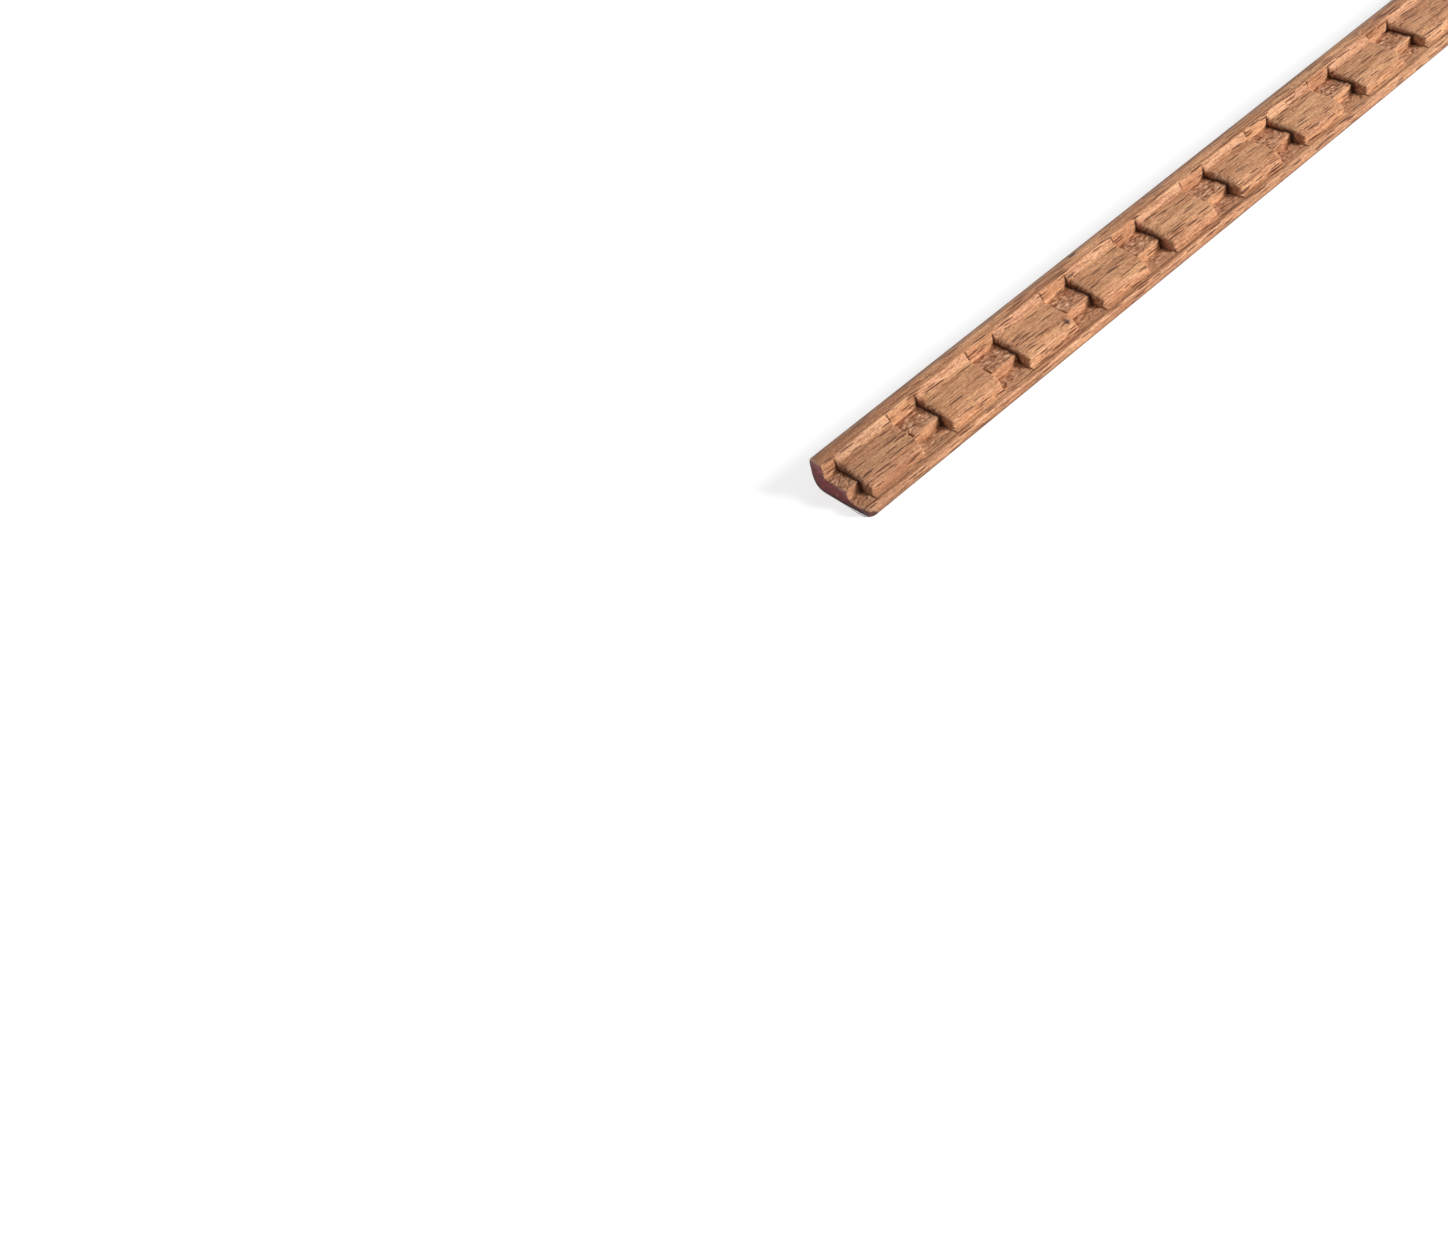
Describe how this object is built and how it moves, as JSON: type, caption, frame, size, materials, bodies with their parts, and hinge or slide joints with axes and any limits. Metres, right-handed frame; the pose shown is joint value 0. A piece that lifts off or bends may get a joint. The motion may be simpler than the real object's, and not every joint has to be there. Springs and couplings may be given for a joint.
{
  "type": "dentil trim strip",
  "caption": "Narrow wooden trim strip with a rounded rail, a row of stepped dentil blocks and a thin lip, flat on its back for gluing or pinning to a surface.",
  "frame": {"origin": "on the flat back, half way along the strip and half way across it", "axes": "+X along the strip, +Y towards the tall rail, +Z away from the back"},
  "size_m": [1, 0.02, 0.0084],
  "materials": {
    "beech": "bare beech, planed on the moulded faces and rough in the gaps"
  },
  "bodies": {
    "root": {"trim_strip": "beech"}
  },
  "joints": []
}
